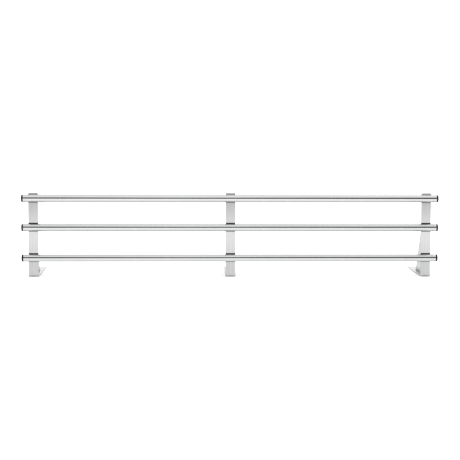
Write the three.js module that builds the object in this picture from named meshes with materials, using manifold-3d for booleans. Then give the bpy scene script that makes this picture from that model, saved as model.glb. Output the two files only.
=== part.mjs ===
// Towel warmer rack: three round bars on three ribbed strip brackets.
// Millimetres, +Z up, +X along the bars. The bars are at the front (-Y) and the feet run back (+Y).
// The origin is on the surface that the feet stand on, at the centre of the rack's outline.

import * as THREE from 'three';
import { mergeVertices } from 'three/addons/utils/BufferGeometryUtils.js';
import Module from 'manifold-3d';

const wasm = await Module();
wasm.setup();

// Whole rack
const RACK_LENGTH = 1270;            // over the end caps
const BRACKET_SPACING = 600;         // from the middle bracket to each outer one
const CONTACT_GAP = 0.3;             // between pieces that touch

// Bars
const BAR_DIAMETER = 22;
const BAR_WALL = 1.2;
const BOTTOM_BAR_HEIGHT = 59.5;      // axis above the feet
const LOWER_PITCH = 93;              // bottom bar to middle bar
const UPPER_PITCH = 88.5;            // middle bar to top bar

// Brackets: a flat strip folded into an upright and a foot, and a rib on its centre line
const STRIP_WIDTH = 30;
const STRIP_THICKNESS = 3;
const STRIP_CORNER = 3;              // rounded corners at the strip's two ends
const UPRIGHT_HEIGHT = 257;
const FOOT_DEPTH = 250;
const INNER_BEND = 2;
const RIB_THICKNESS = 3;
const RIB_DEPTH = 160;               // from the upright's front face to the rib's rear tip
const RIB_TOP = 254;
const RIB_NOSE = 4;                  // the rib's two sharp ends are cut square
const RIB_RELIEF = 8;                // corner cut off to clear the strip's bend

// Rubber pads between the bars and the uprights
const PAD_WIDTH = 29.4;
const PAD_THICKNESS = 1.5;
const PAD_REACH = 13.5;              // above and below the bar's axis
const TOP_PAD_REACH = 10;            // above the top bar's axis, to stay hidden behind it
const PAD_HOLE_DIAMETER = 9;         // clears the rivet nuts' flanges

// Fixings: two M4 screws in each bar and bracket crossing, one on each side of the rib
const SCREW_OFFSET = 9;
const SCREW_DIAMETER = 4;
const SCREW_LENGTH = 12;
const SCREW_TIP = 0.6;
const HEAD_DIAMETER = 8;
const HEAD_HEIGHT = 2.6;
const HEAD_CROWN = 0.9;
const SCREW_HOLE_DIAMETER = 4.8;
const NUT_FLANGE_DIAMETER = 8;
const NUT_FLANGE = 0.5;               // sits on the back of the bar, inside the pad's hole
const NUT_BODY_DIAMETER = 6;
const NUT_COLLAR_DIAMETER = 7.6;
const NUT_COLLAR = 2.6;
const NUT_LENGTH = 9;

// End caps
const CAP_THICKNESS = 6;
const CAP_EDGE = 1.8;                // radius of the cap's outer edge
const CAP_DOME = 0.9;                // how far the middle of the cap stands out
const SPIGOT_LENGTH = 14;
const SPIGOT_WALL = 1.5;
const SPIGOT_LEAD = 0.8;

const BAR_SEGMENTS = 32;
const CAP_SEGMENTS = 20;
const FIXING_SEGMENTS = 10;
const BEND_SEGMENTS = 4;
const CAP_EDGE_STEPS = 3;
const CAP_DOME_STEPS = 2;

const barRadius = BAR_DIAMETER / 2;
const barBore = barRadius - BAR_WALL;
const seatGap = PAD_THICKNESS + 2 * CONTACT_GAP;           // between a bar and the upright
const rackDepth = BAR_DIAMETER + seatGap + FOOT_DEPTH;
const frontFace = -rackDepth / 2 + BAR_DIAMETER + seatGap; // front face of the uprights
const backFace = frontFace + STRIP_THICKNESS;
const barY = frontFace - seatGap - barRadius;
const barLength = RACK_LENGTH - 2 * (CAP_THICKNESS + CONTACT_GAP);

const bars = {
  bottom: BOTTOM_BAR_HEIGHT,
  middle: BOTTOM_BAR_HEIGHT + LOWER_PITCH,
  top: BOTTOM_BAR_HEIGHT + LOWER_PITCH + UPPER_PITCH,
};
const brackets = { left: -BRACKET_SPACING, middle: 0, right: BRACKET_SPACING };
const screwSides = { a: -SCREW_OFFSET, b: SCREW_OFFSET };

const materials = {
  polishedTube: () => metal(0xd9dcde, 0.12),
  bracketSteel: () => metal(0xc9ccce, 0.25),
  fixingSteel: () => metal(0xb4b7b9, 0.35),
  blackPlastic: () => new THREE.MeshStandardMaterial({ color: 0x17181a, roughness: 0.45, metalness: 0 }),
  blackRubber: () => new THREE.MeshStandardMaterial({ color: 0x141414, roughness: 0.9, metalness: 0 }),
};

function metal(color, roughness) {
  return new THREE.MeshStandardMaterial({ color, roughness, metalness: 1 });
}

// --- solids and cuts ---

function toSolid(geometry) {
  const bare = geometry.clone();
  bare.deleteAttribute('normal');
  bare.deleteAttribute('uv');
  const merged = mergeVertices(bare, 1e-4);
  return new wasm.Manifold(new wasm.Mesh({
    numProp: 3,
    vertProperties: new Float32Array(merged.attributes.position.array),
    triVerts: new Uint32Array(merged.index.array),
  }));
}

function toGeometry(solid) {
  const mesh = solid.getMesh();
  const geometry = new THREE.BufferGeometry();
  geometry.setAttribute('position', new THREE.BufferAttribute(mesh.vertProperties, 3));
  geometry.setIndex(new THREE.BufferAttribute(mesh.triVerts, 1));
  geometry.computeVertexNormals();
  return geometry;
}

function drill(geometry, drills) {
  let solid = toSolid(geometry);
  for (const tool of drills) solid = solid.subtract(toSolid(tool));
  return toGeometry(solid);
}

function cylinderAlongY(diameter, y0, y1, x, z) {
  const cylinder = new THREE.CylinderGeometry(diameter / 2, diameter / 2, y1 - y0, FIXING_SEGMENTS);
  return cylinder.translate(x, (y0 + y1) / 2, z);
}

function extrude(shape, depth) {
  return new THREE.ExtrudeGeometry(shape, { depth, bevelEnabled: false, curveSegments: BEND_SEGMENTS });
}

// A solid of revolution about the Y axis, from [radius, height] points.
function turned(points, segments) {
  return new THREE.LatheGeometry(points.map(([r, h]) => new THREE.Vector2(r, h)), segments);
}

// --- bars and their end caps ---

// A tube along X with a hole in its back wall for each rivet nut.
function barGeometry() {
  const half = barLength / 2;
  const wall = [[barBore, -half], [barRadius, -half], [barRadius, half], [barBore, half], [barBore, -half]];
  const tube = turned(wall, BAR_SEGMENTS).rotateZ(-Math.PI / 2);
  const holes = [];
  const holeDiameter = NUT_BODY_DIAMETER + 2 * CONTACT_GAP;
  for (const x of Object.values(brackets)) {
    for (const side of Object.values(screwSides)) {
      holes.push(cylinderAlongY(holeDiameter, barRadius / 2, barRadius + 1, x + side, 0));
    }
  }
  return drill(tube, holes);
}

// A domed disc with a hollow spigot. It points along +Y, with the disc's inner face at zero.
function capGeometry() {
  const spigotRadius = barBore - CONTACT_GAP;
  const spigotBore = spigotRadius - SPIGOT_WALL;
  const edgeTop = CAP_THICKNESS - CAP_DOME;
  const outline = [
    [0, -1],
    [spigotBore, -1],
    [spigotBore, -SPIGOT_LENGTH],
    [spigotRadius - SPIGOT_LEAD, -SPIGOT_LENGTH],
    [spigotRadius, -SPIGOT_LENGTH + 2 * SPIGOT_LEAD],
    [spigotRadius, 0],
    [barRadius, 0],
  ];
  for (let i = 0; i <= CAP_EDGE_STEPS; i++) {
    const angle = (i / CAP_EDGE_STEPS) * (Math.PI / 2);
    outline.push([
      barRadius - CAP_EDGE * (1 - Math.cos(angle)),
      edgeTop - CAP_EDGE * (1 - Math.sin(angle)),
    ]);
  }
  const domeRadius = barRadius - CAP_EDGE;
  for (let i = 1; i <= CAP_DOME_STEPS; i++) {
    const across = 1 - i / CAP_DOME_STEPS;
    outline.push([domeRadius * across, edgeTop + CAP_DOME * (1 - across * across)]);
  }
  return turned(outline, CAP_SEGMENTS);
}

function addBar(rack, name, height) {
  const bar = new THREE.Group();
  bar.position.set(0, barY, height);
  const tube = new THREE.Mesh(barGeometry(), materials.polishedTube());
  tube.name = `${name}_bar`;
  bar.add(tube);
  for (const [end, direction] of Object.entries({ left: -1, right: 1 })) {
    const cap = new THREE.Mesh(capGeometry(), materials.blackPlastic());
    cap.name = `${name}_bar_${end}_cap`;
    cap.position.x = direction * (barLength / 2 + CONTACT_GAP);
    cap.rotation.z = -direction * Math.PI / 2;
    bar.add(cap);
  }
  rack.add(bar);
}

// --- brackets ---

// Side outline of the folded strip, in depth and height, extruded across its width.
function foldedStrip() {
  const outerBend = INNER_BEND + STRIP_THICKNESS;
  const side = new THREE.Shape();
  side.moveTo(frontFace, UPRIGHT_HEIGHT);
  side.lineTo(frontFace, outerBend);
  side.absarc(frontFace + outerBend, outerBend, outerBend, Math.PI, 1.5 * Math.PI, false);
  side.lineTo(frontFace + FOOT_DEPTH, 0);
  side.lineTo(frontFace + FOOT_DEPTH, STRIP_THICKNESS);
  side.lineTo(frontFace + outerBend, STRIP_THICKNESS);
  side.absarc(frontFace + outerBend, outerBend, INNER_BEND, 1.5 * Math.PI, Math.PI, true);
  side.lineTo(backFace, UPRIGHT_HEIGHT);
  side.closePath();
  return acrossWidth(side, STRIP_WIDTH);
}

// Extrudes a shape drawn in (depth, height) along X, centred on x = 0.
function acrossWidth(side, width) {
  const solid = extrude(side, width);
  const toDepthAndHeight = new THREE.Matrix4().makeBasis(
    new THREE.Vector3(0, 1, 0),
    new THREE.Vector3(0, 0, 1),
    new THREE.Vector3(1, 0, 0),
  );
  return solid.applyMatrix4(toDepthAndHeight).translate(-width / 2, 0, 0);
}

// A slab as wide as the strip, with its far corners rounded. It runs along +Y and is thick along +Z.
function roundEndedSlab(length, thickness) {
  const half = STRIP_WIDTH / 2;
  const outline = new THREE.Shape();
  outline.moveTo(-half, 0);
  outline.lineTo(half, 0);
  outline.lineTo(half, length - STRIP_CORNER);
  outline.absarc(half - STRIP_CORNER, length - STRIP_CORNER, STRIP_CORNER, 0, Math.PI / 2, false);
  outline.absarc(STRIP_CORNER - half, length - STRIP_CORNER, STRIP_CORNER, Math.PI / 2, Math.PI, false);
  outline.closePath();
  return extrude(outline, thickness);
}

function stripGeometry() {
  const uprightSlab = roundEndedSlab(UPRIGHT_HEIGHT, FOOT_DEPTH).rotateX(Math.PI / 2);
  uprightSlab.translate(0, frontFace + FOOT_DEPTH, 0);
  const footSlab = roundEndedSlab(FOOT_DEPTH, UPRIGHT_HEIGHT).translate(0, frontFace, 0);
  let strip = toSolid(foldedStrip());
  strip = strip.intersect(toSolid(uprightSlab)).intersect(toSolid(footSlab));
  for (const height of Object.values(bars)) {
    for (const side of Object.values(screwSides)) {
      const hole = cylinderAlongY(SCREW_HOLE_DIAMETER, frontFace - 1, backFace + 1, side, height);
      strip = strip.subtract(toSolid(hole));
    }
  }
  return toGeometry(strip);
}

// A triangular plate that stands in the strip's inside corner.
function ribGeometry() {
  const front = backFace + CONTACT_GAP;
  const bottom = STRIP_THICKNESS + CONTACT_GAP;
  const tip = frontFace + RIB_DEPTH;
  const side = new THREE.Shape();
  side.moveTo(front, bottom + RIB_RELIEF);
  side.lineTo(front + RIB_RELIEF, bottom);
  side.lineTo(tip, bottom);
  side.lineTo(tip, bottom + RIB_NOSE);
  side.lineTo(front + RIB_NOSE, RIB_TOP);
  side.lineTo(front, RIB_TOP);
  side.closePath();
  return acrossWidth(side, RIB_THICKNESS);
}

function addBracket(rack, name, x) {
  const bracket = new THREE.Group();
  bracket.position.x = x;
  const strip = new THREE.Mesh(stripGeometry(), materials.bracketSteel());
  strip.name = `${name}_bracket_strip`;
  const rib = new THREE.Mesh(ribGeometry(), materials.bracketSteel());
  rib.name = `${name}_bracket_rib`;
  bracket.add(strip, rib);
  rack.add(bracket);
}

// --- pads ---

// A pad centred on the bracket and on the bar's axis, with its rear face at y = 0.
function padGeometry(reachUp) {
  const outline = new THREE.Shape();
  outline.moveTo(-PAD_WIDTH / 2, -PAD_REACH);
  outline.lineTo(PAD_WIDTH / 2, -PAD_REACH);
  outline.lineTo(PAD_WIDTH / 2, reachUp);
  outline.lineTo(-PAD_WIDTH / 2, reachUp);
  outline.closePath();
  const pad = extrude(outline, PAD_THICKNESS).rotateX(Math.PI / 2);
  const holes = Object.values(screwSides).map(
    (side) => cylinderAlongY(PAD_HOLE_DIAMETER, -PAD_THICKNESS - 1, 1, side, 0));
  return drill(pad, holes);
}

function addPad(rack, barName, height, bracketName, x) {
  const reachUp = barName === 'top' ? TOP_PAD_REACH : PAD_REACH;
  const pad = new THREE.Mesh(padGeometry(reachUp), materials.blackRubber());
  pad.name = `pad_${barName}_bar_${bracketName}`;
  pad.position.set(x, frontFace - CONTACT_GAP, height);
  rack.add(pad);
}

// --- fixings ---

// A pan-head screw that points along -Y, with the underside of its head at zero.
function screwGeometry() {
  const shank = SCREW_DIAMETER / 2;
  const head = HEAD_DIAMETER / 2;
  const rim = HEAD_HEIGHT - HEAD_CROWN;
  return turned([
    [0, -SCREW_LENGTH],
    [shank - SCREW_TIP, -SCREW_LENGTH],
    [shank, -SCREW_LENGTH + SCREW_TIP],
    [shank, 0],
    [head, 0],
    [head, rim],
    [head * 0.78, rim + HEAD_CROWN * 0.75],
    [head * 0.4, HEAD_HEIGHT],
    [0, HEAD_HEIGHT],
  ], FIXING_SEGMENTS);
}

// A rivet nut that points along -Y. Its flange ends at zero and its collar grips behind the tube's wall.
function nutGeometry() {
  const bore = SCREW_DIAMETER / 2 + CONTACT_GAP;
  const flange = NUT_FLANGE_DIAMETER / 2;
  const body = NUT_BODY_DIAMETER / 2;
  const collar = NUT_COLLAR_DIAMETER / 2;
  const wallInside = NUT_FLANGE + 2 * CONTACT_GAP + BAR_WALL + 0.4;
  return turned([
    [bore, 0],
    [bore, -NUT_LENGTH],
    [body, -NUT_LENGTH],
    [body, -wallInside - NUT_COLLAR],
    [collar, -wallInside - NUT_COLLAR / 2],
    [body, -wallInside],
    [body, -NUT_FLANGE],
    [flange, -NUT_FLANGE],
    [flange, 0],
    [bore, 0],
  ], FIXING_SEGMENTS);
}

function addFixings(rack, barName, height, bracketName, x) {
  for (const [side, offset] of Object.entries(screwSides)) {
    const screw = new THREE.Mesh(screwGeometry(), materials.fixingSteel());
    screw.name = `screw_${barName}_bar_${bracketName}_${side}`;
    screw.position.set(x + offset, backFace + CONTACT_GAP, height);
    const nut = new THREE.Mesh(nutGeometry(), materials.fixingSteel());
    nut.name = `rivet_nut_${barName}_bar_${bracketName}_${side}`;
    nut.position.set(x + offset, frontFace - seatGap + CONTACT_GAP + NUT_FLANGE, height);
    rack.add(screw, nut);
  }
}

// --- assembly ---

const rack = new THREE.Group();
for (const [name, height] of Object.entries(bars)) addBar(rack, name, height);
for (const [name, x] of Object.entries(brackets)) addBracket(rack, name, x);
for (const [barName, height] of Object.entries(bars)) {
  for (const [bracketName, x] of Object.entries(brackets)) {
    addPad(rack, barName, height, bracketName, x);
    addFixings(rack, barName, height, bracketName, x);
  }
}

export default rack;
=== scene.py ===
"""Towel warmer rack: the looks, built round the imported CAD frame. Metres, +Z up, front towards -Y."""

import math

import bmesh
import bpy
from mathutils import Matrix, Vector


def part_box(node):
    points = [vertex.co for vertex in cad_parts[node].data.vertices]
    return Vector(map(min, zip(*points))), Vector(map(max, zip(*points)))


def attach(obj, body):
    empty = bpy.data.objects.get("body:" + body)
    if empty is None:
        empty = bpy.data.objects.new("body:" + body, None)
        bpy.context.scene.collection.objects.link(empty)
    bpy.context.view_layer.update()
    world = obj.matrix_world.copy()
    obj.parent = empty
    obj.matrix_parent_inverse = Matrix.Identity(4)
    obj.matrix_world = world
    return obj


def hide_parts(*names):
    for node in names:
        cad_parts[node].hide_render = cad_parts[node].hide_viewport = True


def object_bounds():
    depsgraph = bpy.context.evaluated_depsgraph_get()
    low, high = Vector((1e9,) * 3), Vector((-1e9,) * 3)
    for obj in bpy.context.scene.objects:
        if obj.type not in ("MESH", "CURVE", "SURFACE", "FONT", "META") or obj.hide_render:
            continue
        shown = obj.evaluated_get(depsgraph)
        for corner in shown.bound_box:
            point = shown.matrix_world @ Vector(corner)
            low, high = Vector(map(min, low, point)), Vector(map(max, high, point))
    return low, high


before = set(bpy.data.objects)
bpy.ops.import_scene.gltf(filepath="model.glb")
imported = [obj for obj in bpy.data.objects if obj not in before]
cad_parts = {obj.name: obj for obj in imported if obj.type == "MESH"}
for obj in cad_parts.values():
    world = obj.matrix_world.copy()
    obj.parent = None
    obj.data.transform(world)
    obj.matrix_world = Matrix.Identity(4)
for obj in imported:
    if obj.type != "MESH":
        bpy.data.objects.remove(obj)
cad_low, cad_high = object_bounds()

MM = 0.001
BODY = "root"
BARS = ("bottom", "middle", "top")
BRACKETS = ("left", "middle", "right")
BEHIND = Matrix.Rotation(math.pi / 2, 4, "Z")  # turns a shape drawn along X to run along Y

# ---------------------------------------------------------------- sizes from the frame

bar_low, bar_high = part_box("top_bar")
cap_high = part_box("top_bar_right_cap")[1]
strip_low, strip_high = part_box("middle_bracket_strip")
rib_low, rib_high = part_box("middle_bracket_rib")
screw_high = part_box("screw_top_bar_middle_a")[1]
nut_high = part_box("rivet_nut_top_bar_middle_a")[1]

BAR_RADIUS = (bar_high.z - bar_low.z) / 2
BAR_Y = (bar_low.y + bar_high.y) / 2
BAR_WALL = 1.2 * MM
BAR_BORE = BAR_RADIUS - BAR_WALL
TUBE_LIP = 0.25 * MM
NUT_HOLE_RADIUS = 3.3 * MM
HOLE_MARGIN = 5.0 * MM

FIT_GAP = 0.3 * MM
CAP_THICKNESS = cap_high.x - bar_high.x - FIT_GAP
CAP_EDGE = 1.8 * MM
CAP_DOME = 0.9 * MM
SPIGOT_LENGTH = 14 * MM
SPIGOT_WALL = 1.5 * MM
SPIGOT_LEAD = 0.8 * MM
CAP_EASE = 0.2 * MM  # softening of the disc's inner edges
SOCKET_FLOOR = 1.0 * MM  # how far the disc stands into the hollow spigot
SOCKET_FILLET = 0.4 * MM

STRIP_WIDTH = strip_high.x - strip_low.x
STRIP_THICKNESS = 3.0 * MM
STRIP_CORNER = 3.0 * MM
FRONT_FACE = strip_low.y
BACK_FACE = FRONT_FACE + STRIP_THICKNESS
UPRIGHT_HEIGHT = strip_high.z
INNER_BEND = 2.0 * MM
OUTER_BEND = INNER_BEND + STRIP_THICKNESS
EDGE_BREAK = 0.35 * MM

RIB_THICKNESS = rib_high.x - rib_low.x
RIB_NOSE = 4.0 * MM
RIB_RELIEF = 8.0 * MM
RIB_CORNER = 1.0 * MM

PAD_CORNER = 1.2 * MM
PAD_EDGE = 0.3 * MM
PAD_HOLE_RADIUS = 4.5 * MM

SCREW_HOLE_RADIUS = 2.4 * MM
SCREW_OFFSET = 9.0 * MM
SCREW_LENGTH = 12.0 * MM
HEAD_RADIUS = 4.0 * MM
HEAD_HEIGHT = 2.6 * MM
HEAD_RIM = 1.1 * MM
HEAD_EASE = 0.2 * MM
SHANK_RADIUS = 2.0 * MM
SCREW_TIP = 0.6 * MM


def middle_of(node):
    low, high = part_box(node)
    return (low + high) / 2


def bar_height(bar):
    return middle_of(f"{bar}_bar").z


def bracket_x(bracket):
    return middle_of(f"{bracket}_bracket_strip").x


# ---------------------------------------------------------------- camera

CAMERA_PLACE = (-0.1331, -4.1836, 0.5145)
CAMERA_RIGHT_TURN = 1.853  # degrees, from looking straight along +Y
CAMERA_DOWN_TILT = 5.198
CAMERA_ROLL = 0.182
CAMERA_LENS = 104.73  # millimetres
SENSOR_WIDTH = 36.0


def make_camera():
    data = bpy.data.cameras.new("camera")
    data.lens = CAMERA_LENS
    data.sensor_width = SENSOR_WIDTH
    camera = bpy.data.objects.new("camera", data)
    bpy.context.scene.collection.objects.link(camera)
    turn = Matrix.Rotation(math.radians(-CAMERA_RIGHT_TURN), 4, "Z")
    tilt = Matrix.Rotation(math.radians(90 - CAMERA_DOWN_TILT), 4, "X")
    roll = Matrix.Rotation(math.radians(CAMERA_ROLL), 4, "Z")
    camera.matrix_world = Matrix.Translation(CAMERA_PLACE) @ turn @ tilt @ roll
    bpy.context.scene.camera = camera


make_camera()

# ---------------------------------------------------------------- shader helpers

BRIGHTEST = 4.0  # strength of the graded lights, over the brightest of their levels
NOISE_RANGE = (0.3, 0.7)  # nearly all of a noise's values lie between these
TONE_RANGE = (0.35, 0.65)


def grey(level, blue=0.0):
    """A grey with its alpha, and a little more blue if asked."""
    return (level, level, level + blue, 1)


def shade(colour, amount):
    """A colour with its alpha, lightened or darkened by a factor."""
    return [min(part * amount, 1.0) for part in colour] + [1.0]


class Nodes:
    """Adds nodes to a shader tree; an input may be a number, a colour or another node's output."""

    def __init__(self, tree):
        self.tree = tree
        self.tree.nodes.clear()

    def plug(self, socket, value):
        if isinstance(value, bpy.types.NodeSocket):
            self.tree.links.new(value, socket)
        else:
            socket.default_value = value

    def add(self, kind, inputs=None, **settings):
        node = self.tree.nodes.new(kind)
        for name, value in settings.items():
            setattr(node, name, value)
        for name, value in (inputs or {}).items():
            self.plug(node.inputs[name], value)
        return node

    def maths(self, operation, first, second=0.0):
        node = self.add("ShaderNodeMath", operation=operation)
        self.plug(node.inputs[0], first)
        self.plug(node.inputs[1], second)
        return node.outputs[0]

    def split(self, vector):
        node = self.add("ShaderNodeSeparateXYZ", {"Vector": vector})
        return node.outputs["X"], node.outputs["Y"], node.outputs["Z"]

    def vector(self, x, y, z):
        return self.add("ShaderNodeCombineXYZ", {"X": x, "Y": y, "Z": z}).outputs["Vector"]

    def noise(self, vector, scale, detail=3.0, roughness=0.5):
        inputs = {"Vector": vector, "Scale": scale, "Detail": detail, "Roughness": roughness}
        return self.add("ShaderNodeTexNoise", inputs).outputs["Fac"]

    def cloud(self, vector, scale):
        """A noise with more and rougher fine detail."""
        return self.noise(vector, scale, detail=4.0, roughness=0.6)

    def stretched_noise(self, vector, scales, detail=2.0):
        stretched = self.add("ShaderNodeMapping", {"Vector": vector, "Scale": scales}).outputs["Vector"]
        return self.noise(stretched, 1.0, detail)

    def remap(self, value, low, high, to_low, to_high):
        inputs = {"Value": value, "From Min": low, "From Max": high, "To Min": to_low, "To Max": to_high}
        return self.add("ShaderNodeMapRange", inputs).outputs["Result"]

    def mix_colour(self, factor, first, second):
        node = self.add("ShaderNodeMix", data_type="RGBA")
        self.plug(node.inputs[0], factor)
        self.plug(node.inputs[6], first)
        self.plug(node.inputs[7], second)
        return node.outputs[2]

    def two_tone(self, value, first, second, tones=TONE_RANGE):
        """The first colour up to the lower of two values, the second from the higher, and mixed between."""
        return self.mix_colour(self.remap(value, *tones, 0.0, 1.0), first, second)

    def mix_shader(self, factor, first, second):
        node = self.add("ShaderNodeMixShader", {"Fac": factor})
        self.plug(node.inputs[1], first)
        self.plug(node.inputs[2], second)
        return node.outputs["Shader"]

    def bump(self, height, strength, distance):
        inputs = {"Height": height, "Strength": strength, "Distance": distance}
        return self.add("ShaderNodeBump", inputs).outputs["Normal"]

    def levels(self, value, stops):
        """Brightness by stops of (position, level), as a share of BRIGHTEST: a ramp can't go over 1."""
        low, high = stops[0][0], stops[-1][0]
        ramp = self.add("ShaderNodeValToRGB", {"Fac": self.remap(value, low, high, 0.0, 1.0)})
        elements = ramp.color_ramp.elements
        elements[0].color = grey(stops[0][1] / BRIGHTEST)
        elements[1].color = grey(stops[-1][1] / BRIGHTEST)
        for position, level in stops[1:-1]:
            element = elements.new((position - low) / (high - low))
            element.color = grey(level / BRIGHTEST)
        return ramp.outputs["Color"]


def new_material(name):
    material = bpy.data.materials.new(name)
    material.use_nodes = True
    nodes = Nodes(material.node_tree)
    place = nodes.add("ShaderNodeTexCoord").outputs["Object"]
    return material, nodes, place


def finish_material(nodes, inputs):
    shader = nodes.add("ShaderNodeBsdfPrincipled", inputs)
    nodes.add("ShaderNodeOutputMaterial", {"Surface": shader.outputs["BSDF"]})


# ---------------------------------------------------------------- materials

# Noise scales are per metre, so a scale of 100 makes features about 10 mm across
TUBE_COLOUR = (0.775, 0.778, 0.782)
FLAT_BAR_COLOUR = (0.60, 0.602, 0.605)
GRAIN_SCALES = (2600, 9, 2600)  # the second axis runs along the grain
STREAK_SCALES = (330, 3, 330)
GRAIN_SHARE, STREAK_SHARE = 0.45, 0.55
GRAIN_DEPTH = 0.02 * MM
DARK_LINES, LIGHT_LINES, WORN_SHADE = 0.90, 1.07, 1.12  # factors on the steel's colour
WORN_RANGE = (0.58, 0.72)  # noise values where a worn patch starts and is full
WORN_STRENGTH = 0.35
SMEAR_SMOOTHING = 0.6  # smears smooth the steel less than they roughen it
SMOOTHEST = 0.03
BLOOM_RANGE = (0.4, 0.7)
PAINTED_CORNER_SHADE = (0.24, 0.234, 0.226, 1)  # painted shade: the steel darkened where the rib meets the foot, standing in for the dark reflection in that corner
RIB_SHADE_HEIGHTS = (9 * MM, 15 * MM)  # heights where the painted shade is full and where it is gone
FOOT_SHADE_SPREAD = (4 * MM, 9 * MM)  # the same, each side of the rib on the foot
FOOT_SHADE_RISES = (-0.5 * MM, -0.1 * MM, 1 * MM)  # above the foot: where it starts, is full, and stops
SHADE_FADE = 5 * MM  # past the end of the rib
SHADE_DRIFT = 1.5 * MM


def steel(
    nodes, along_grain, place, colour, roughness, variation, grain_strength, extra=None, corner_shade=None
):
    """Stainless steel: fine grain, broader streaks, soft smears, a few brighter worn patches, and painted
    corner shade where a mask is given.
    """
    grain = nodes.stretched_noise(along_grain, GRAIN_SCALES)
    streaks = nodes.stretched_noise(along_grain, STREAK_SCALES, detail=3.0)
    smear = nodes.cloud(place, scale=14.0)
    worn = nodes.remap(nodes.noise(place, scale=60.0), *WORN_RANGE, 0.0, WORN_STRENGTH)
    fine = nodes.maths("MULTIPLY", grain, GRAIN_SHARE)
    broad = nodes.maths("MULTIPLY", streaks, STREAK_SHARE)
    lines = nodes.maths("ADD", fine, broad)
    brushed = nodes.two_tone(lines, shade(colour, DARK_LINES), shade(colour, LIGHT_LINES))
    base = nodes.mix_colour(worn, brushed, shade(colour, WORN_SHADE))
    # painted shade: darkens the steel in the corner where the rib meets the foot
    if corner_shade:
        base = nodes.mix_colour(corner_shade, base, PAINTED_CORNER_SHADE)
    rough = nodes.maths("ADD", nodes.remap(lines, *NOISE_RANGE, -variation, variation), roughness)
    smeared = nodes.remap(smear, *TONE_RANGE, -variation * SMEAR_SMOOTHING, variation)
    rough = nodes.maths("ADD", rough, smeared)
    inputs = {
        "Base Color": base, "Metallic": 1.0, "Roughness": nodes.maths("MAXIMUM", rough, SMOOTHEST),
        "Normal": nodes.bump(grain, grain_strength, GRAIN_DEPTH),
    }
    finish_material(nodes, inputs | (extra or {}))


def tube_steel():
    """Polished tube, with the faint lines of drawing and buffing along it."""
    material, nodes, place = new_material("polished_tube_steel")
    x, y, z = nodes.split(place)
    along_grain = nodes.vector(y, x, z)
    steel(
        nodes, along_grain, place, TUBE_COLOUR, roughness=0.07, variation=0.012, grain_strength=0.04
    )
    return material


def shade_edge_drift(nodes, place):
    """Moves the edge of the painted shade to and fro, so it isn't a straight line."""
    return nodes.remap(nodes.noise(place, scale=70.0), *NOISE_RANGE, -SHADE_DRIFT, SHADE_DRIFT)


def strip_steel():
    """Brushed flat bar. The grain follows the strip round its bend, so it runs down and then back."""
    material, nodes, place = new_material("brushed_strip_steel")
    x, y, z = nodes.split(place)
    run = nodes.maths("SUBTRACT", y, z)
    # painted shade on the foot, each side of the rib and close to it
    drift = shade_edge_drift(nodes, place)
    beside = nodes.remap(nodes.maths("ADD", nodes.maths("ABSOLUTE", x), drift), *FOOT_SHADE_SPREAD, 1.0, 0.0)
    low, high, over = (STRIP_THICKNESS + rise for rise in FOOT_SHADE_RISES)
    on_top = nodes.remap(z, low, high, 0.0, 1.0)
    on_top = nodes.maths("MULTIPLY", on_top, nodes.maths("LESS_THAN", z, over))
    by_rib = nodes.remap(nodes.maths("ADD", y, drift), rib_high.y, rib_high.y + SHADE_FADE, 1.0, 0.0)
    corner_shade = nodes.maths("MULTIPLY", beside, nodes.maths("MULTIPLY", on_top, by_rib))
    extra = {"Anisotropic": 0.8, "Tangent": nodes.vector(1.0, 0.05, 0.05)}
    along_grain = nodes.vector(x, run, 0.0)
    steel(
        nodes, along_grain, place, FLAT_BAR_COLOUR, roughness=0.09, variation=0.015, grain_strength=0.05,
        extra=extra, corner_shade=corner_shade,
    )
    return material


def rib_steel():
    """The flat bar steel of the ribs, with upright grain, and painted shade low on the rib where it meets
    the foot.
    """
    material, nodes, place = new_material("brushed_rib_steel")
    x, y, z = nodes.split(place)
    drift = shade_edge_drift(nodes, place)
    height = nodes.maths("ADD", z, drift)
    extra = {"Anisotropic": 0.6, "Tangent": nodes.vector(0.05, 1.0, 0.05)}
    # painted shade low on the rib, fading out upwards
    corner_shade = nodes.remap(height, *RIB_SHADE_HEIGHTS, 1.0, 0.0)
    along_grain = nodes.vector(y, z, x)
    steel(
        nodes, along_grain, place, FLAT_BAR_COLOUR, roughness=0.12, variation=0.03, grain_strength=0.08,
        extra=extra, corner_shade=corner_shade,
    )
    return material


def weld_steel():
    """A weld bead: rougher and greyer, with a straw and grey heat tint that drifts along it."""
    material, nodes, place = new_material("weld_bead_steel")
    drift = nodes.noise(place, scale=160.0)
    pits = nodes.noise(place, scale=1800.0)
    straw, dull_grey = (0.27, 0.25, 0.23, 1), (0.36, 0.36, 0.37, 1)
    finish_material(nodes, {
        "Base Color": nodes.two_tone(drift, straw, dull_grey), "Metallic": 1.0,
        "Roughness": nodes.remap(drift, *NOISE_RANGE, 0.26, 0.42),
        "Normal": nodes.bump(pits, strength=0.3, distance=0.05 * MM),
    })
    return material


def zinc_steel():
    """Zinc plate on screws and rivet nuts: mottled, a little blue, dulled in patches."""
    material, nodes, place = new_material("zinc_plated_steel")
    mottle = nodes.cloud(place, scale=700.0)
    dull = nodes.noise(place, scale=180.0)
    dark_zinc, light_zinc = (0.50, 0.51, 0.53, 1), (0.60, 0.61, 0.63, 1)
    finish_material(nodes, {
        "Base Color": nodes.two_tone(mottle, dark_zinc, light_zinc), "Metallic": 1.0,
        "Roughness": nodes.remap(dull, *NOISE_RANGE, 0.22, 0.38),
        "Normal": nodes.bump(mottle, strength=0.15, distance=GRAIN_DEPTH),
    })
    return material


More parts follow.
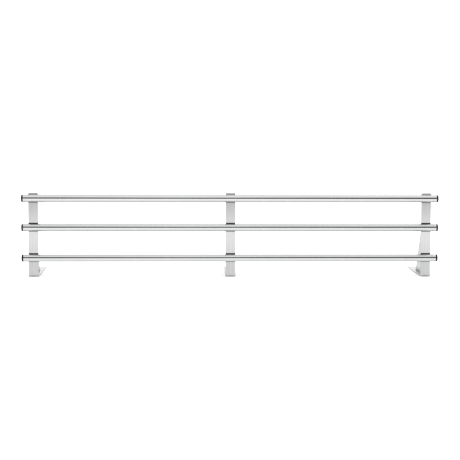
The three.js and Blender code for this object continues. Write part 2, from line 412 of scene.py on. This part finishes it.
def cap_plastic():
    """Black moulded plastic: fine spark texture, slight haze and scuffs."""
    material, nodes, place = new_material("black_cap_plastic")
    haze = nodes.noise(place, scale=130.0)
    texture = nodes.noise(place, scale=2800.0, detail=2.0)
    black, hazed = grey(0.003, blue=0.0005), grey(0.007, blue=0.0005)
    finish_material(nodes, {
        "Base Color": nodes.two_tone(haze, black, hazed), "Specular IOR Level": 0.2,
        "Roughness": nodes.remap(haze, *NOISE_RANGE, 0.40, 0.55),
        "Normal": nodes.bump(texture, strength=0.35, distance=0.03 * MM),
    })
    return material


def pad_rubber():
    """Matte black rubber sheet with a dusty bloom."""
    material, nodes, place = new_material("black_pad_rubber")
    bloom = nodes.cloud(place, scale=90.0)
    texture = nodes.noise(place, scale=1500.0)
    black, dusty = grey(0.012), grey(0.022)
    finish_material(nodes, {
        "Base Color": nodes.two_tone(bloom, black, dusty, BLOOM_RANGE), "Specular IOR Level": 0.15,
        "Roughness": nodes.remap(bloom, *NOISE_RANGE, 0.78, 0.92),
        "Normal": nodes.bump(texture, strength=0.4, distance=0.05 * MM),
    })
    return material


# ---------------------------------------------------------------- mesh helpers

TUBE_SEGMENTS = 128
CAP_SEGMENTS = 96
FIXING_SEGMENTS = 48
HOLE_SEGMENTS = 32
EDGE_STEPS = 10
DOME_STEPS = 12
WELD_DISTANCE = 1e-6  # metres; vertices nearer than this are one
BISECT_DISTANCE = 1e-7
AXIS_DISTANCE = 1e-9  # a point nearer to the axis of a turned shape is on it


def link(name, data):
    piece = bpy.data.objects.new(name, data)
    bpy.context.scene.collection.objects.link(piece)
    return piece


def smooth(mesh, degrees=35):
    """Smooth shading everywhere except across edges sharper than the given angle."""
    for polygon in mesh.polygons:
        polygon.use_smooth = True
    mesh.set_sharp_from_angle(angle=math.radians(degrees))


def baked(holder):
    """The mesh of an object as its modifiers leave it; the object itself goes."""
    bpy.context.view_layer.update()
    mesh = bpy.data.meshes.new_from_object(holder.evaluated_get(bpy.context.evaluated_depsgraph_get()))
    bpy.data.objects.remove(holder)
    return mesh


def flat_faced(name, mesh, degrees=30):
    """Smooth shading with normals from the large faces, so rounded edges don't tilt the flats by them."""
    smooth(mesh, degrees)
    holder = link(name, mesh)
    weighted = holder.modifiers.new("weighted", "WEIGHTED_NORMAL")
    weighted.mode = "FACE_AREA"
    weighted.weight = 100
    weighted.keep_sharp = True
    return baked(holder)


def mesh_from(name, bm):
    bmesh.ops.recalc_face_normals(bm, faces=bm.faces)
    mesh = bpy.data.meshes.new(name)
    bm.to_mesh(mesh)
    bm.free()
    return mesh


def cut(name, mesh, cutters):
    """A mesh less some other meshes."""
    holder = link(name, mesh)
    tools = [link("cutter", cutter) for cutter in cutters]
    for tool in tools:
        difference = holder.modifiers.new("cut", "BOOLEAN")
        difference.object = tool
        difference.operation = "DIFFERENCE"
        difference.solver = "EXACT"
    result = baked(holder)
    for tool in tools:
        bpy.data.objects.remove(tool)
    bm = bmesh.new()
    bm.from_mesh(result)
    bmesh.ops.remove_doubles(bm, verts=bm.verts, dist=WELD_DISTANCE)
    bmesh.ops.dissolve_degenerate(bm, edges=bm.edges, dist=WELD_DISTANCE)
    return mesh_from(name, bm)


def turned_mesh(name, profile, segments, matrix=None):
    """A solid of revolution about X from (x, radius) points. Points on the axis close its ends."""
    bm = bmesh.new()
    rings = []
    for x, radius in profile:
        if radius < AXIS_DISTANCE:
            rings.append([bm.verts.new((x, 0, 0))])
            continue
        angles = [2 * math.pi * i / segments for i in range(segments)]
        rings.append([bm.verts.new((x, radius * math.cos(a), radius * math.sin(a))) for a in angles])
    pairs = list(zip(rings, rings[1:]))
    if len(rings[0]) > 1:
        pairs.append((rings[-1], rings[0]))
    for one, two in pairs:
        for i in range(segments):
            j = (i + 1) % segments
            corners = [one[i % len(one)], one[j % len(one)], two[j % len(two)], two[i % len(two)]]
            bm.faces.new(list(dict.fromkeys(corners)))
    if matrix is not None:
        bm.transform(matrix)
    mesh = mesh_from(name, bm)
    smooth(mesh)
    return mesh


def arc(centre, radius, start, end, steps):
    """Points on an arc, from one angle in degrees to another, both ends included."""
    points = []
    for i in range(steps + 1):
        angle = math.radians(start + (end - start) * i / steps)
        points.append((centre[0] + radius * math.cos(angle), centre[1] + radius * math.sin(angle)))
    return points


def circle(centre, radius, steps):
    return arc(centre, radius, 0, 360, steps)[:-1]


def rounded_rectangle(left, right, bottom, top, radius, steps=6):
    outline = []
    corners = ((right, bottom, -90), (right, top, 0), (left, top, 90), (left, bottom, 180))
    for x, y, start in corners:
        centre_x = x - math.copysign(radius, x - (left + right) / 2)
        centre_y = y - math.copysign(radius, y - (bottom + top) / 2)
        outline += arc((centre_x, centre_y), radius, start, start + 90, steps)
    return outline


def plate_mesh(name, outline, holes, thickness, edge):
    """A flat plate in the XY plane, centred on z = 0, with its edges and its holes' rims rounded."""
    curve = bpy.data.curves.new(name, "CURVE")
    curve.dimensions = "2D"
    curve.fill_mode = "BOTH"
    curve.extrude = thickness / 2 - edge
    curve.bevel_depth = edge
    curve.bevel_resolution = 2
    curve.offset = -edge
    for points in [outline, *holes]:
        spline = curve.splines.new("POLY")
        spline.points.add(len(points) - 1)
        for point, (x, y) in zip(spline.points, points):
            point.co = (x, y, 0, 1)
        spline.use_cyclic_u = True
    mesh = baked(link(name, curve))
    bpy.data.curves.remove(curve)
    bm = bmesh.new()
    bm.from_mesh(mesh)
    bmesh.ops.remove_doubles(bm, verts=bm.verts, dist=WELD_DISTANCE)
    return mesh_from(name, bm)


def own(piece, slot_name, material, *nodes):
    """Gives a piece its material and its body, and hides the CAD nodes that it stands for."""
    piece.data.materials.clear()
    piece.data.materials.append(material)
    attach(piece, BODY)
    if nodes:
        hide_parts(*nodes)


# ---------------------------------------------------------------- bars and end caps


def nut_hole(x):
    """A cutter for one rivet nut's hole through the back wall of a tube on the X axis."""
    reach = BAR_RADIUS
    place = Matrix.Translation((x, BAR_RADIUS / 2, 0)) @ BEHIND
    profile = [(0, 0), (0, NUT_HOLE_RADIUS), (reach, NUT_HOLE_RADIUS), (reach, 0)]
    return turned_mesh("nut_hole", profile, HOLE_SEGMENTS, place)


def tube_mesh(name, end):
    """A tube with holes for its rivet nuts. Rings beside each hole keep the cuts' shading local."""
    nuts = [bracket_x(bracket) + side for bracket in BRACKETS for side in (-SCREW_OFFSET, SCREW_OFFSET)]
    rings = [x + side for x in nuts for side in (-HOLE_MARGIN, HOLE_MARGIN)]
    profile = [(-end, BAR_BORE + TUBE_LIP), (-end, BAR_RADIUS - TUBE_LIP), (-end + TUBE_LIP, BAR_RADIUS)]
    profile += [(x, BAR_RADIUS) for x in rings]
    profile += [(end - TUBE_LIP, BAR_RADIUS), (end, BAR_RADIUS - TUBE_LIP), (end, BAR_BORE + TUBE_LIP)]
    profile += [(end - TUBE_LIP, BAR_BORE)] + [(x, BAR_BORE) for x in reversed(rings)]
    profile += [(-end + TUBE_LIP, BAR_BORE)]
    mesh = cut(name, turned_mesh(name, profile, TUBE_SEGMENTS), [nut_hole(x) for x in nuts])
    smooth(mesh)
    return mesh


def make_bar(bar, material):
    low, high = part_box(f"{bar}_bar")
    piece = link(f"{bar}_tube", tube_mesh(f"{bar}_tube", (high.x - low.x) / 2))
    piece.location = (0, BAR_Y, bar_height(bar))
    own(piece, "polished_tube", material, f"{bar}_bar")


def cap_mesh():
    """An end cap that points along +X, with the inner face of its disc at x = 0."""
    spigot = BAR_BORE - FIT_GAP
    bore = spigot - SPIGOT_WALL
    shoulder = CAP_THICKNESS - CAP_DOME
    profile = [
        (-SOCKET_FLOOR, 0), (-SOCKET_FLOOR, bore - SOCKET_FILLET), (-SOCKET_FLOOR - SOCKET_FILLET, bore),
        (-SPIGOT_LENGTH, bore), (-SPIGOT_LENGTH, spigot - SPIGOT_LEAD),
        (-SPIGOT_LENGTH + 2 * SPIGOT_LEAD, spigot),
        (-2 * CAP_EASE, spigot), (0, spigot + CAP_EASE), (0, BAR_RADIUS - CAP_EASE), (CAP_EASE, BAR_RADIUS),
    ]
    profile += arc((shoulder - CAP_EDGE, BAR_RADIUS - CAP_EDGE), CAP_EDGE, 90, 0, EDGE_STEPS)
    across = BAR_RADIUS - CAP_EDGE
    for i in range(1, DOME_STEPS + 1):
        share = 1 - i / DOME_STEPS
        profile.append((shoulder + CAP_DOME * (1 - share ** 2), across * share))
    return turned_mesh("end_cap", profile, CAP_SEGMENTS)


def make_caps(bar, mesh, material):
    for end, direction in (("left", -1), ("right", 1)):
        node = f"{bar}_bar_{end}_cap"
        low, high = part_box(node)
        outer = high.x if direction > 0 else low.x
        piece = link(f"{bar}_{end}_end_cap", mesh)
        piece.location = (outer - direction * CAP_THICKNESS, BAR_Y, bar_height(bar))
        piece.rotation_euler.z = 0.0 if direction > 0 else math.pi
        own(piece, "end_cap_plastic", material, node)


# ---------------------------------------------------------------- brackets

BEND_RADIUS = INNER_BEND + STRIP_THICKNESS / 2  # of the strip's middle surface
BEND_LENGTH = BEND_RADIUS * math.pi / 2
BEND_CUTS = 12
UPRIGHT_RUN = UPRIGHT_HEIGHT - OUTER_BEND
FOOT_RUN = strip_high.y - FRONT_FACE - OUTER_BEND
STRIP_LENGTH = UPRIGHT_RUN + BEND_LENGTH + FOOT_RUN


def fold(across, run, depth):
    """Folds a point of the flat strip: across it, down from its top, and behind its front face."""
    if run <= UPRIGHT_RUN:
        return Vector((across, FRONT_FACE + depth, UPRIGHT_HEIGHT - run))
    if run >= UPRIGHT_RUN + BEND_LENGTH:
        back = run - UPRIGHT_RUN - BEND_LENGTH
        return Vector((across, FRONT_FACE + OUTER_BEND + back, depth))
    angle = (run - UPRIGHT_RUN) / BEND_RADIUS
    radius = OUTER_BEND - depth
    y = FRONT_FACE + OUTER_BEND - radius * math.cos(angle)
    return Vector((across, y, OUTER_BEND - radius * math.sin(angle)))


def strip_mesh():
    outline = rounded_rectangle(-STRIP_WIDTH / 2, STRIP_WIDTH / 2, 0, STRIP_LENGTH, STRIP_CORNER)
    holes = []
    for bar in BARS:
        for side in (-SCREW_OFFSET, SCREW_OFFSET):
            holes.append(circle((side, UPRIGHT_HEIGHT - bar_height(bar)), SCREW_HOLE_RADIUS, HOLE_SEGMENTS))
    flat = plate_mesh("flat_strip", outline, holes, STRIP_THICKNESS, EDGE_BREAK)
    bm = bmesh.new()
    bm.from_mesh(flat)
    for i in range(BEND_CUTS + 1):
        run = UPRIGHT_RUN + BEND_LENGTH * i / BEND_CUTS
        everything = [*bm.verts, *bm.edges, *bm.faces]
        bmesh.ops.bisect_plane(
            bm, geom=everything, dist=BISECT_DISTANCE, plane_co=(0, run, 0), plane_no=(0, 1, 0)
        )
    for vertex in bm.verts:
        across, run, height = vertex.co
        vertex.co = fold(across, run, STRIP_THICKNESS / 2 - height)
    return flat_faced("bracket_strip", mesh_from("bracket_strip", bm))


CORNER_SHARES = (0.0, 0.25, 0.5, 0.75, 1.0)
STOOD_UP = Matrix(((0, 0, 1, 0), (1, 0, 0, 0), (0, 1, 0, 0), (0, 0, 0, 1)))  # XY plane to YZ plane


def rib_mesh():
    """The rib, drawn in (depth, height) with its corners eased, and stood up on x = 0."""
    front, back = rib_low.y, rib_high.y
    bottom, top = rib_low.z, rib_high.z
    corners = [
        (front, bottom + RIB_RELIEF), (front + RIB_RELIEF, bottom), (back, bottom),
        (back, bottom + RIB_NOSE), (front + RIB_NOSE, top), (front, top),
    ]
    outline = []
    for i, here in enumerate(Vector(corner) for corner in corners):
        start = here + (Vector(corners[i - 1]) - here).normalized() * RIB_CORNER
        end = here + (Vector(corners[(i + 1) % len(corners)]) - here).normalized() * RIB_CORNER
        for share in CORNER_SHARES:
            point = start * (1 - share) ** 2 + here * 2 * share * (1 - share) + end * share ** 2
            outline.append(tuple(point))
    mesh = plate_mesh("bracket_rib", outline, [], RIB_THICKNESS, EDGE_BREAK)
    mesh.transform(STOOD_UP)
    return flat_faced("bracket_rib", mesh)


# Short weld beads on both sides of the rib, as (start, end): heights on the upright, clear of the screws,
# and distances behind its front face on the foot
UPRIGHT_WELDS = (
    (20 * MM, 44 * MM), (78 * MM, 102 * MM), (118 * MM, 142 * MM), (170 * MM, 194 * MM),
    (212 * MM, 232 * MM),
)
FOOT_WELDS = ((16 * MM, 40 * MM), (72 * MM, 96 * MM), (128 * MM, 152 * MM))
BEAD_RADIUS = 1.5 * MM
RIPPLE = 1.4 * MM  # length of one ripple of the bead
RIPPLE_HEIGHT = 0.12 * MM
BEAD_SIDES = 12
RINGS_PER_RIPPLE = 4
FEWEST_RINGS = 8
BEAD_TIP = 0.4 * MM  # keeps the tapered ends from closing to a point


def add_bead(bm, start, end, along):
    """A rippled bead with tapered ends, from one point to another, along one axis."""
    length = (end - start).length
    rings = []
    steps = max(FEWEST_RINGS, round(length / (RIPPLE / RINGS_PER_RIPPLE)))
    side_one = Vector((1, 0, 0))
    side_two = along.cross(side_one)
    for i in range(steps + 1):
        distance = length * i / steps
        from_end = min(distance, length - distance) + BEAD_TIP
        taper = min(1.0, from_end / BEAD_RADIUS)
        ripple = RIPPLE_HEIGHT * abs(math.sin(math.pi * distance / RIPPLE))
        radius = (BEAD_RADIUS + ripple) * math.sqrt(taper)
        centre = start + along * distance
        ring = []
        for k in range(BEAD_SIDES):
            angle = 2 * math.pi * k / BEAD_SIDES
            outward = side_one * math.cos(angle) + side_two * math.sin(angle)
            ring.append(bm.verts.new(centre + outward * radius))
        rings.append(ring)
    for one, two in zip(rings, rings[1:]):
        for k in range(BEAD_SIDES):
            j = (k + 1) % BEAD_SIDES
            bm.faces.new((one[k], one[j], two[j], two[k]))
    bm.faces.new(rings[0])
    bm.faces.new(rings[-1])


def weld_mesh():
    bm = bmesh.new()
    for x in (rib_low.x, rib_high.x):
        for low, high in UPRIGHT_WELDS:
            start, end = Vector((x, BACK_FACE, low)), Vector((x, BACK_FACE, high))
            add_bead(bm, start, end, Vector((0, 0, 1)))
        for near, far in FOOT_WELDS:
            start = Vector((x, FRONT_FACE + near, STRIP_THICKNESS))
            end = Vector((x, FRONT_FACE + far, STRIP_THICKNESS))
            add_bead(bm, start, end, Vector((0, 1, 0)))
    mesh = mesh_from("rib_welds", bm)
    smooth(mesh, degrees=60)
    return mesh


def make_bracket(bracket, meshes, materials):
    x = bracket_x(bracket)
    slot = "bracket_steel"
    upright = link(f"{bracket}_strip", meshes["strip"])
    upright.location.x = x
    own(upright, slot, materials["strip"], f"{bracket}_bracket_strip")
    web = link(f"{bracket}_rib", meshes["rib"])
    web.location.x = x
    own(web, slot, materials["rib"], f"{bracket}_bracket_rib")
    beads = link(f"{bracket}_rib_welds", meshes["welds"])
    beads.location.x = x
    own(beads, slot, materials["weld"])


# ---------------------------------------------------------------- pads and fixings


def pad_mesh(bar):
    """A rubber pad with its rear face at y = 0, its height measured from the bar's axis."""
    low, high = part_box(f"pad_{bar}_bar_middle")
    height = bar_height(bar)
    half = (high.x - low.x) / 2
    thickness = high.y - low.y
    outline = rounded_rectangle(-half, half, low.z - height, high.z - height, PAD_CORNER)
    holes = [circle((side, 0), PAD_HOLE_RADIUS, HOLE_SEGMENTS) for side in (-SCREW_OFFSET, SCREW_OFFSET)]
    mesh = plate_mesh(f"{bar}_pad", outline, holes, thickness, PAD_EDGE)
    upright = Matrix.Translation((0, -thickness / 2, 0)) @ Matrix.Rotation(math.pi / 2, 4, "X")
    mesh.transform(upright)
    return flat_faced(f"{bar}_pad", mesh)


def make_pads(bar, mesh, material):
    for bracket in BRACKETS:
        node = f"pad_{bar}_bar_{bracket}"
        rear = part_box(node)[1].y
        piece = link(f"{bar}_{bracket}_seat_pad", mesh)
        piece.location = (bracket_x(bracket), rear, bar_height(bar))
        own(piece, "pad_rubber", material, node)


RECESS_WIDTH = 0.95 * MM
RECESS_REACH = 2.3 * MM
RECESS_DEPTH = 1.5 * MM
RECESS_TAPER = 0.62
RECESS_OVERSHOOT = 0.5 * MM  # the cutter goes on above the head, and widens
RECESS_FLARE = 1.2
HEAD_FULLNESS = 0.75  # 1 would make the head's side an ellipse


def recess_blade(turn):
    """One tapered blade of a cross recess, sunk into the head from above."""
    bm = bmesh.new()
    top, bottom = HEAD_HEIGHT + RECESS_OVERSHOOT, HEAD_HEIGHT - RECESS_DEPTH
    rings = []
    for y, scale in ((bottom, RECESS_TAPER), (top, RECESS_FLARE)):
        w, r = RECESS_WIDTH / 2 * scale, RECESS_REACH * scale
        rings.append([bm.verts.new((x, y, z)) for x, z in ((-r, -w), (r, -w), (r, w), (-r, w))])
    for i in range(4):
        j = (i + 1) % 4
        bm.faces.new((rings[0][i], rings[0][j], rings[1][j], rings[1][i]))
    bm.faces.new(rings[0])
    bm.faces.new(rings[1])
    bm.transform(Matrix.Rotation(turn, 4, "Y"))
    return mesh_from("recess", bm)


def screw_mesh():
    """A cross-recessed pan-head screw that points along -Y, with the underside of its head at y = 0."""
    profile = [
        (-SCREW_LENGTH, 0), (-SCREW_LENGTH, SHANK_RADIUS - SCREW_TIP),
        (-SCREW_LENGTH + SCREW_TIP, SHANK_RADIUS), (0, SHANK_RADIUS), (0, HEAD_RADIUS - HEAD_EASE),
        (HEAD_EASE, HEAD_RADIUS), (HEAD_RIM, HEAD_RADIUS),
    ]
    for i in range(1, EDGE_STEPS):
        angle = math.pi / 2 * i / EDGE_STEPS
        rise = (HEAD_HEIGHT - HEAD_RIM) * math.sin(angle)
        profile.append((HEAD_RIM + rise, HEAD_RADIUS * math.cos(angle) ** HEAD_FULLNESS))
    profile.append((HEAD_HEIGHT, 0))
    head = turned_mesh("pan_head_screw", profile, FIXING_SEGMENTS, BEHIND)
    mesh = cut("pan_head_screw", head, [recess_blade(0), recess_blade(math.pi / 2)])
    smooth(mesh)
    return mesh


def nut_mesh():
    """A rivet nut that points along -Y, with the top of its flange at y = 0."""
    length, flange, collar_top, collar_middle, collar_end = (v * MM for v in (9.0, 0.5, 2.7, 4.0, 5.3))
    bore, body, collar, rim = (v * MM for v in (2.3, 3.0, 3.8, 4.0))
    profile = [
        (0, bore), (-length, bore), (-length, body), (-collar_end, body), (-collar_middle, collar),
        (-collar_top, body), (-flange, body), (-flange, rim), (0, rim),
    ]
    return turned_mesh("rivet_nut", profile, FIXING_SEGMENTS, BEHIND)


ROW_TURN, COLUMN_TURN = 0.7, 1.1  # radians, so that neighbouring screws don't line up


def make_fixings(bar, bracket, meshes, material, turn):
    for side, offset in (("a", -SCREW_OFFSET), ("b", SCREW_OFFSET)):
        x = bracket_x(bracket) + offset
        screw = link(f"{bar}_{bracket}_{side}_pan_screw", meshes["screw"])
        screw.location = (x, screw_high.y - HEAD_HEIGHT, bar_height(bar))
        screw.rotation_euler.y = turn + offset / SCREW_OFFSET
        own(screw, "fixing_steel", material, f"screw_{bar}_bar_{bracket}_{side}")
        nut = link(f"{bar}_{bracket}_{side}_rivet_nut", meshes["nut"])
        nut.location = (x, nut_high.y, bar_height(bar))
        own(nut, "fixing_steel", material, f"rivet_nut_{bar}_bar_{bracket}_{side}")


# ---------------------------------------------------------------- floor and light

FLOOR_REACH = 8.0
FLOOR_DROP = 0.2 * MM
FLOOR_WHITE = (0.9, 0.9, 0.9, 1)
STUDIO_WHITE = 1.9  # brightness of the even white studio that lights the scene
# (metres along Y, brightness) of the floor's painted glow, which only the steel's reflections see:
# brightest in front of the rack, with a painted shadow of the rack from just in front of it to just behind
FLOOR_GLOW = (
    (-8.0, 0.05), (-4.55, 0.06), (-4.3, 0.90), (-3.9, 0.86), (-3.2, 0.93), (-2.6, 1.06), (-1.95, 1.20),
    (-1.35, 1.33), (-0.86, 1.20), (-0.5, 1.05), (-0.14, 1.02), (-0.10, 0.50), (0.05, 0.46), (0.13, 0.94),
    (8.0, 1.05),
)
# (degrees across the bars, brightness): 0 is the horizon in front, 90 overhead, 180 the horizon behind
STUDIO = (
    (-180, 0.05), (27, 0.05), (33, 0.88), (60, 0.98), (100, 0.98), (122, 0.75),
    (145, 0.55), (158, 0.50), (163, 1.06), (180, 1.06),
)
# the same for light from the sides, where there is no dark screen behind the camera
STUDIO_SIDES = (
    (-180, 0.40), (0, 0.40), (10, 0.50), (35, 0.90), (60, 1.0), (100, 0.98), (130, 0.55), (158, 0.45),
    (168, 0.90), (180, 0.90),
)
SIDES_FROM, SIDES_FULL = 0.28, 0.5  # sideways part of a ray where the sides' light starts and is full
SIDE_RISE = 80.0  # degrees that the overhead light's front edge rises, per unit of a ray's sideways part


def make_floor():
    bm = bmesh.new()
    bmesh.ops.create_grid(bm, x_segments=1, y_segments=1, size=FLOOR_REACH)
    mesh = mesh_from("floor", bm)
    floor = link("floor", mesh)
    floor.location.z = cad_low.z - FLOOR_DROP
    material, nodes, place = new_material("floor_white")
    depth = nodes.split(place)[1]
    # the floor glows only in the steel's reflections: a painted reflection, with the rack's shadow painted
    # into it
    glow = nodes.levels(depth, FLOOR_GLOW)
    mirrored = nodes.add("ShaderNodeEmission", {"Color": glow, "Strength": BRIGHTEST})
    seen = nodes.add("ShaderNodeBsdfDiffuse", {"Color": FLOOR_WHITE})
    in_steel = nodes.add("ShaderNodeLightPath").outputs["Is Glossy Ray"]
    surface = nodes.mix_shader(in_steel, seen.outputs["BSDF"], mirrored.outputs["Emission"])
    nodes.add("ShaderNodeOutputMaterial", {"Surface": surface})
    mesh.materials.append(material)


def make_world():
    """An even white studio. The steel mirrors a graded one, dark in front and lighter at the sides."""
    world = bpy.data.worlds.new("studio")
    world.use_nodes = True
    bpy.context.scene.world = world
    nodes = Nodes(world.node_tree)
    x, y, z = nodes.split(nodes.add("ShaderNodeTexCoord").outputs["Generated"])
    forward = nodes.maths("MULTIPLY", y, -1.0)
    angle = nodes.maths("MULTIPLY", nodes.maths("ARCTAN2", z, forward), 180 / math.pi)
    rise = nodes.maths("MULTIPLY", nodes.maths("ABSOLUTE", x), SIDE_RISE)
    rise = nodes.maths("MULTIPLY", rise, nodes.maths("MAXIMUM", forward, 0.0))
    across = nodes.maths("SUBTRACT", angle, rise)
    sideways = nodes.remap(nodes.maths("ABSOLUTE", x), SIDES_FROM, SIDES_FULL, 0.0, 1.0)
    glow = nodes.mix_colour(sideways, nodes.levels(across, STUDIO), nodes.levels(angle, STUDIO_SIDES))
    mirrored = nodes.add("ShaderNodeBackground", {"Color": glow, "Strength": BRIGHTEST})
    white = nodes.add("ShaderNodeBackground", {"Color": (1, 1, 1, 1), "Strength": STUDIO_WHITE})
    in_steel = nodes.add("ShaderNodeLightPath").outputs["Is Glossy Ray"]
    surface = nodes.mix_shader(in_steel, white.outputs["Background"], mirrored.outputs["Background"])
    nodes.add("ShaderNodeOutputWorld", {"Surface": surface})


# ---------------------------------------------------------------- assembly

bpy.context.scene.view_settings.view_transform = "Standard"
make_floor()
make_world()

tube_material, cap_material, cap_shape = tube_steel(), cap_plastic(), cap_mesh()
for bar_name in BARS:
    make_bar(bar_name, tube_material)
    make_caps(bar_name, cap_shape, cap_material)

bracket_meshes = {"strip": strip_mesh(), "rib": rib_mesh(), "welds": weld_mesh()}
bracket_materials = {"strip": strip_steel(), "rib": rib_steel(), "weld": weld_steel()}
for bracket_name in BRACKETS:
    make_bracket(bracket_name, bracket_meshes, bracket_materials)

pad_material, zinc = pad_rubber(), zinc_steel()
fixing_meshes = {"screw": screw_mesh(), "nut": nut_mesh()}
for row, bar_name in enumerate(BARS):
    make_pads(bar_name, pad_mesh(bar_name), pad_material)
    for column, bracket_name in enumerate(BRACKETS):
        turn = ROW_TURN * row + COLUMN_TURN * column
        make_fixings(bar_name, bracket_name, fixing_meshes, zinc, turn)
